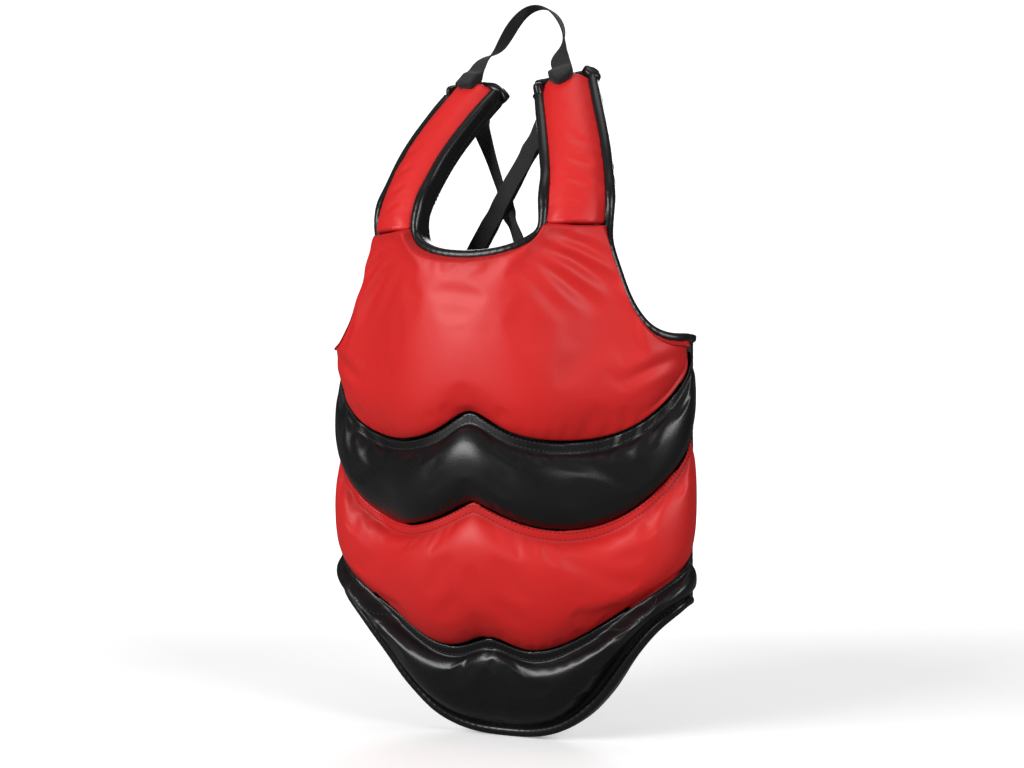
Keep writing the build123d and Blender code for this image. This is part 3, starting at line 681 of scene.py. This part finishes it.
def route_of(node, step, reach, beside=None):
    """Middle line of a long piece, its two cross directions and its radius at each of 32 turns."""
    points, ends = edges_of(node)
    along = walk(points, ends, int(np.argmax(walk(points, ends, 0))))
    a, b = points[ends[:, 0]], points[ends[:, 1]]
    reached_a, reached_b = along[ends[:, 0]], along[ends[:, 1]]
    shares = np.linspace(0, 1, 24)[:, None]
    samples = (a * (1 - shares[..., None]) + b * shares[..., None]).reshape(-1, 3)
    reached = (reached_a * (1 - shares) + reached_b * shares).reshape(-1)
    count = int(reached.max() / 0.006)
    bins = np.minimum(count - 1, (reached / reached.max() * count).astype(int))
    slices = [samples[bins == k] for k in range(1, count - 1)]
    middle = np.array([(part.max(0) + part.min(0)) / 2 for part in slices])
    middle = evenly(smoothed(middle, 3), step)
    tree = tree_of(beside) if beside else None
    for _ in range(3):
        tangent = unit(np.gradient(middle, axis=0))
        across, radius = [], []
        for k, (centre, way) in enumerate(zip(middle, tangent)):
            off_a, off_b = (a - centre) @ way, (b - centre) @ way
            cut = off_a * off_b < 0
            share = (off_a[cut] / (off_a[cut] - off_b[cut]))[:, None]
            ring = a[cut] * (1 - share) + b[cut] * share - centre
            ring = ring[np.linalg.norm(ring, axis=1) < reach]
            if tree:
                side = np.array(tree.find_nearest(Vector(centre))[0]) - centre
            else:
                side = np.linalg.svd(ring - (ring.max(0) + ring.min(0)) / 2, full_matrices=False)[2][0]
                side = side * (np.sign(side @ across[-1]) if across else 1)
            side = unit(side - way * (side @ way))
            across.append(side)
            up = np.cross(way, side)
            x, y = ring @ side, ring @ up
            shift = side * (x.max() + x.min()) / 2 + up * (y.max() + y.min()) / 2
            x, y = x - (x.max() + x.min()) / 2, y - (y.max() + y.min()) / 2
            turn = np.arctan2(y, x)
            order = np.argsort(turn)
            radius.append(np.interp(TURNS, turn[order], np.hypot(x, y)[order], period=math.tau))
            middle[k] = centre + shift
        middle = smoothed(middle, 2)
    across = unit(smoothed(np.array(across), 4))
    tangent = unit(np.gradient(middle, axis=0))
    across = unit(across - tangent * (across * tangent).sum(1, keepdims=True))
    radius = smoothed(np.median(np.stack([np.roll(radius, s, 0) for s in (-1, 0, 1)]), axis=0), 2)
    ends_out = []
    for k, sign in ((0, -1), (-1, 1)):
        near = points[np.linalg.norm(points - middle[k], axis=1) < reach * 1.4]
        ends_out.append(max(0.0, ((near - middle[k]) @ tangent[k] * sign).max()) if len(near) else 0.0)
    before, after = middle[:1] - tangent[:1] * ends_out[0], middle[-1:] + tangent[-1:] * ends_out[1]
    middle = np.concatenate([before, middle, after])
    across, tangent, radius = (np.concatenate([v[:1], v, v[-1:]]) for v in (across, tangent, radius))
    return middle, across, np.cross(tangent, across), radius


def tube(name, middle, across, through, x, y, **values):
    """Closed skin round a middle line, with its ends rounded over; x and y place each ring's points."""
    way = unit(np.gradient(middle, axis=0))
    round_by = [(0.0030, 1.0), (0.0016, 0.93), (0.0006, 0.76), (0.0, 0.50)]
    first = [(middle[0] + way[0] * back, size) for back, size in round_by[::-1]]
    last = [(middle[-1] - way[-1] * back, size) for back, size in round_by]
    keep = slice(2, -2)
    count = len(round_by)

    def repeat(v):
        return np.concatenate([np.repeat(v[:1], count, 0), v[keep], np.repeat(v[-1:], count, 0)])

    full = np.ones(len(middle) - 4)
    scale = np.concatenate([[size for _, size in first], full, [size for _, size in last]])
    middle = np.concatenate([[at for at, _ in first], middle[keep], [at for at, _ in last]])
    across, through, x, y = repeat(across), repeat(through), repeat(x), repeat(y)
    values = {key: repeat(field) for key, field in values.items()}
    x, y = x * scale[:, None], y * scale[:, None]
    rings = middle[:, None] + x[..., None] * across[:, None] + y[..., None] * through[:, None]
    verts = np.concatenate([rings.reshape(-1, 3), middle[:1], middle[-1:]])
    size, count = len(TURNS), len(middle)
    beside = [(k, (k + 1) % size) for k in range(size)]
    faces = [(ring + a, ring + b, ring + size + b, ring + size + a)
             for ring in range(0, (count - 1) * size, size) for a, b in beside]
    faces += [(count * size, b, a) for a, b in beside]
    faces += [(count * size + 1, (count - 1) * size + a, (count - 1) * size + b) for a, b in beside]
    mesh = bpy.data.meshes.new(name)
    mesh.from_pydata(verts.tolist(), [], faces)
    for key, field in values.items():
        field = np.concatenate([field.reshape(-1), field[:1, 0], field[-1:, 0]])
        mark(mesh, key, field)
    mesh.shade_smooth()
    return placed(name, mesh), rings


VINYL = coated_cloth("black_binding_vinyl", (0.007, 0.007, 0.0075), (0.003, 0.003, 0.003), 0.26)
STITCH = 0.0046  # from one stitch of a binding to the next


def binding(name, node, beside):
    """Folded edge binding: a fat outer fold, a sewn groove on each face and a thin inner lip."""
    middle, across, through, radius = route_of(node, 0.0026, 0.016, beside)
    run = run_of(middle)[:, None]
    turn = np.minimum(TURNS, math.tau - TURNS)[None, :]
    groove = bell(turn - 1.02, 0.20)
    stitch = 0.5 + 0.5 * np.cos(run * math.tau / STITCH)
    pucker = np.sin(run * 905 + 1.7 * np.sin(run * 61)) * bell(turn - 1.65, 0.45)
    wander = np.sin(run * 83 + 2 * np.sin(run * 31 + len(name)))
    face = bell(turn - 1.6, 0.9)
    radius = radius - groove * (0.00075 + 0.00035 * stitch) + pucker * 0.00022 + face * wander * 0.00022
    # painted shade: the sewn groove goes into the seam attribute, which darkens it
    piece, rings = tube(name, middle, across, through, radius * np.cos(TURNS), radius * np.sin(TURNS),
                        seam=np.broadcast_to(groove, radius.shape))
    finer(piece)
    piece.data.materials.append(VINYL)
    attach(piece, "vest")
    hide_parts(node)
    for label, turn_at in (("front", 5), ("back", 27)):
        path = rings[5:-5, turn_at]
        stitches(name + "_" + label + "_thread", path, unit(path - rings[5:-5].mean(1)), BLACK_THREAD,
                 pitch=STITCH)


binding("hem_roll", "hem_binding", "backing_board")


# ---- Side and armhole bindings
# The same folded strip up the two straight sides, and one strip round each
# armhole and up the outer edge of its arm.
binding("right_side_roll", "right_wing_binding", "backing_board")
binding("left_side_roll", "left_wing_binding", "backing_board")
binding("right_armhole_roll", "right_armhole_binding", "backing_board")
binding("left_armhole_roll", "left_armhole_binding", "backing_board")


# ---- Neckline and tip bindings
# One strip round the neck opening and up both inner edges of the arms, and a
# short one across each arm tip.
binding("neck_roll", "neckline_binding", "backing_board")
binding("right_tip_roll", "right_tip_binding", "right_arm_foam")
binding("left_tip_roll", "left_tip_binding", "left_arm_foam")


# ---- Shoulder arms
# Red coated cloth drawn over a foam strip, sewn into the bindings down both
# edges and closed with a seam where it meets the chest panel.
def remeshed(name, nodes, voxel):
    """One closed skin round copies of frame nodes."""
    verts, faces = [], []
    for node in nodes:
        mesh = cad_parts[node].data
        base = len(verts)
        verts += [tuple(v.co) for v in mesh.vertices]
        faces += [tuple(base + i for i in p.vertices) for p in mesh.polygons]
    mesh = bpy.data.meshes.new(name)
    mesh.from_pydata(verts, [], faces)
    piece = placed(name, mesh)
    remesh = piece.modifiers.new("remesh", "REMESH")
    remesh.mode = "VOXEL"
    remesh.voxel_size = voxel
    remesh.use_smooth_shade = True
    even = piece.modifiers.new("even", "SMOOTH")
    even.factor = 0.5
    even.iterations = 3
    done = bpy.data.meshes.new_from_object(piece.evaluated_get(bpy.context.evaluated_depsgraph_get()))
    piece.modifiers.clear()
    piece.data = done
    done.name = name
    done.shade_smooth()
    return piece


def near_nodes(piece, nodes, reach):
    """How near each point of a piece lies to the given nodes, 1 touching to 0 at reach."""
    trees = [tree_of(node) for node in nodes]
    return np.array([1 - min(1.0, min((tree.find_nearest(v.co)[3] or reach) for tree in trees) / reach)
                     for v in piece.data.vertices])


def meet(piece, nodes, reach):
    """Draws the edge of a piece in behind the bindings that it is sewn into."""
    trees = [tree_of(node) for node in nodes]
    for vertex in piece.data.vertices:
        far, place = towards(vertex.co, trees, reach)
        if far is not None and far > 1e-5:
            way = Vector(place) - vertex.co
            vertex.co += way * ((far + 0.0016) / far) * float(ease(1.35 - far / reach))


def arm_rolls(hand):
    """The bindings that an arm is sewn into."""
    return hand + "_armhole_binding", "neckline_binding", hand + "_tip_binding"


# ends of each fold of the right arm as seen from the front, and its depth
ARM_FOLDS = (
    ((0.082, 0.236), (0.104, 0.226), 0.0011),
    ((0.084, 0.216), (0.106, 0.206), 0.0014),
    ((0.086, 0.196), (0.108, 0.187), 0.0012),
    ((0.088, 0.178), (0.106, 0.171), 0.0009),
    ((0.100, 0.160), (0.078, 0.154), 0.0009),
)
for hand, side in (("right", 1), ("left", -1)):
    arm = remeshed(hand + "_arm", [hand + "_arm_cover", hand + "_arm_foam"], 0.0035)
    seam = near_nodes(arm, arm_rolls(hand) + ("chest_cover",), 0.008)
    settle(arm, ease(seam * 1.6), 0.0018, 0.002, 2.0)
    meet(arm, arm_rolls(hand), 0.006)
    spots = np.array([v.co for v in arm.data.vertices])[:, None]
    facing = np.array([v.normal for v in arm.data.vertices])[:, None]
    for begin, end, depth in ARM_FOLDS:
        fold(spots, facing, [(begin[0] * side, begin[1]), (end[0] * side, end[1])], depth, 0.0028)
    arm.data.vertices.foreach_set("co", spots.reshape(-1))
    arm.data.update()
    # painted shade: the seam attribute darkens the arm where it meets its bindings and the chest panel
    mark(arm.data, "seam", seam ** 2)
    finer(arm)
    arm.data.materials.append(RED)
    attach(arm, "vest")
    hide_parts(hand + "_arm_cover", hand + "_arm_foam")


# ---- Lining
# Black spacer mesh glued to the stiff backing board, against the wearer.
def mesh_lining():
    """Knitted spacer mesh: open holes between raised ribs, a little worn."""
    material, start, shader = finish_of("lining_mesh", Specular_IOR_Level=0.25)
    place = object_place(start)
    holes = start.node("ShaderNodeTexVoronoi", Vector=place, Scale=330.0)
    knit = noise(place, 900.0, Detail=2.0)
    worn = noise(place, 11.0, Detail=3.0)
    raised = start.maths("GREATER_THAN", holes, 0.32)
    tone = ramp(raised * 0.5 + worn * 0.4,
                (0.0, (0.004, 0.004, 0.004)), (0.5, (0.022, 0.022, 0.024)), (1.0, (0.045, 0.045, 0.048)))
    feed(start, shader, Base_Color=tone, Roughness=0.8 + knit * 0.15,
         Normal=relief(holes * 0.8 + knit * 0.3, 0.6, 0.0008))
    return material


LINING = mesh_lining()
LINING_COLUMNS, LINING_ROWS = 121, 90
low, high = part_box("body_lining")
wide = math.atan2(high.x, BEHIND.y - high.y) - RIM
angles = np.linspace(-wide, wide, LINING_COLUMNS)
grid = drape("body_lining", lining_ray, angles, low.z, high.z, lambda height: np.linspace(0, 1, LINING_ROWS))
normal = grid_normals(grid, (0, 1, 0))
hollows = np.sin(grid[..., 2] * 260) * np.sin(grid[..., 0] * 210)
grid = grid + normal * (hollows * 0.0003)[..., None]
lining = sheet_of("lining", tucked(grid, normal, 0.006))
lining.data.materials.append(LINING)
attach(lining, "vest")
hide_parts("body_lining", "backing_board")
for hand in ("right", "left"):
    back = remeshed(hand + "_arm_backing", [hand + "_arm_lining"], 0.0016)
    meet(back, arm_rolls(hand), 0.008)
    back.data.materials.append(LINING)
    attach(back, "vest")
    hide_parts(hand + "_arm_lining")


# ---- Neck loop and shoulder straps
# Woven nylon webbing: the loop joins the two arm tips behind the neck, and
# the straps cross behind the wearer from each tip to the other side's buckle.
def webbing_of(name, colour, deep):
    """Woven nylon tape: a slanted twill over cords that run along it."""
    material, start, shader = finish_of(name, Specular_IOR_Level=0.35, Sheen_Weight=0.1, Sheen_Roughness=0.5)
    along = start.node("ShaderNodeAttribute", {"attribute_name": "along"}, out=FACTOR)
    across = start.node("ShaderNodeAttribute", {"attribute_name": "breadth"}, out=FACTOR)
    place = object_place(start)
    worn = noise(place, 40.0, Detail=3.0)
    slant = start.maths("PINGPONG", across, 0.0025)
    twill = start.maths("SINE", (along + slant) * 2700.0)
    cords = start.maths("SINE", across * 5200.0)
    height = twill * 0.5 + cords * 0.35
    tone = ramp(height * 0.5 + worn * 0.4 + 0.25, (0.1, deep), (0.9, colour))
    feed(start, shader, Base_Color=tone, Roughness=0.62 + worn * 0.2, Normal=relief(height, 0.55, 0.0004))
    return material


WEBBING = webbing_of("black_webbing", (0.017, 0.017, 0.018), (0.004, 0.004, 0.0045))


def webbing(name, node):
    """Flat woven strap along a node, with its own thickness and rounded edges."""
    middle, across, through, radius = route_of(node, 0.003, 0.022)
    one_edge, one_face, other_edge, other_face = (radius[:, turn:turn + 1] for turn in (0, 8, 16, 24))
    half_wide, half_thick = (one_edge + other_edge) / 2, (one_face + other_face) / 2
    x = np.sign(np.cos(TURNS)) * np.abs(np.cos(TURNS)) ** 0.6 * half_wide
    y = np.sign(np.sin(TURNS)) * np.abs(np.sin(TURNS)) ** 0.28 * half_thick
    middle = middle + across * ((one_edge - other_edge) / 2)
    run = run_of(middle)[:, None]
    along = np.broadcast_to(run, x.shape)
    piece, _ = tube(name, middle, across, through, x, y, along=along, breadth=x + 0.03)
    piece.data.materials.append(WEBBING)
    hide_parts(node)
    return piece, middle


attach(webbing("neck_webbing", "neck_loop")[0], "vest")
for hand, other in (("right", "left"), ("left", "right")):
    strap, middle = webbing(hand + "_strap", hand + "_shoulder_strap")
    top, foot = (middle[0], middle[-1]) if middle[0][2] > middle[-1][2] else (middle[-1], middle[0])
    tuple(top + (foot - top) * 0.86)
    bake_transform(strap)


# ---- Buckles, tabs and keepers
# Moulded side-release buckles on short sewn tabs, and the elastic rings that
# hold the spare strap.
def moulded():
    """Moulded plastic with a fine spark-eroded face, rubbed in places."""
    material, start, shader = finish_of("buckle_plastic_moulded", Specular_IOR_Level=0.5, IOR=1.5)
    place = object_place(start)
    spark = noise(place, 1500.0, Detail=2.0)
    rubbed = noise(place, 60.0, Detail=3.0)
    tone = ramp(rubbed, (0.2, (0.010, 0.010, 0.011)), (0.9, (0.026, 0.026, 0.028)))
    feed(start, shader, Base_Color=tone, Roughness=0.34 + rubbed * 0.18, Normal=relief(spark, 0.2, 0.0003))
    return material


def elastic_of():
    """Ribbed elastic tape."""
    material, start, shader = finish_of("elastic_band", Specular_IOR_Level=0.25, Sheen_Weight=0.3)
    place = object_place(start)
    ribs = start.node("ShaderNodeTexWave", {"wave_type": "BANDS"}, Vector=place, Scale=260.0, Distortion=0.6)
    fuzz = noise(place, 500.0)
    tone = ramp(ribs * 0.6 + fuzz * 0.4, (0.1, (0.008, 0.008, 0.008)), (0.9, (0.032, 0.032, 0.034)))
    feed(start, shader, Base_Color=tone, Roughness=0.75 + fuzz * 0.15, Normal=relief(ribs, 0.5, 0.0004))
    return material


MOULDED, ELASTIC = moulded(), elastic_of()
FINE = 0.0007  # voxel size of the small parts
for hand in ("right", "left"):
    for part in ("buckle_socket", "buckle_plug", "outer_latch", "inner_latch"):
        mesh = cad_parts[hand + "_" + part].data
        mesh.materials.clear()
        mesh.materials.append(MOULDED)
    tab = remeshed(hand + "_sewn_tab", [hand + "_tab"], FINE)
    tab.data.materials.append(WEBBING)
    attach(tab, "vest")
    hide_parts(hand + "_tab")
    ring = remeshed(hand + "_elastic_ring", [hand + "_keeper"], FINE)
    ring.data.materials.append(ELASTIC)
    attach(ring, hand + "_keeper_ring")
    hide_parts(hand + "_keeper")
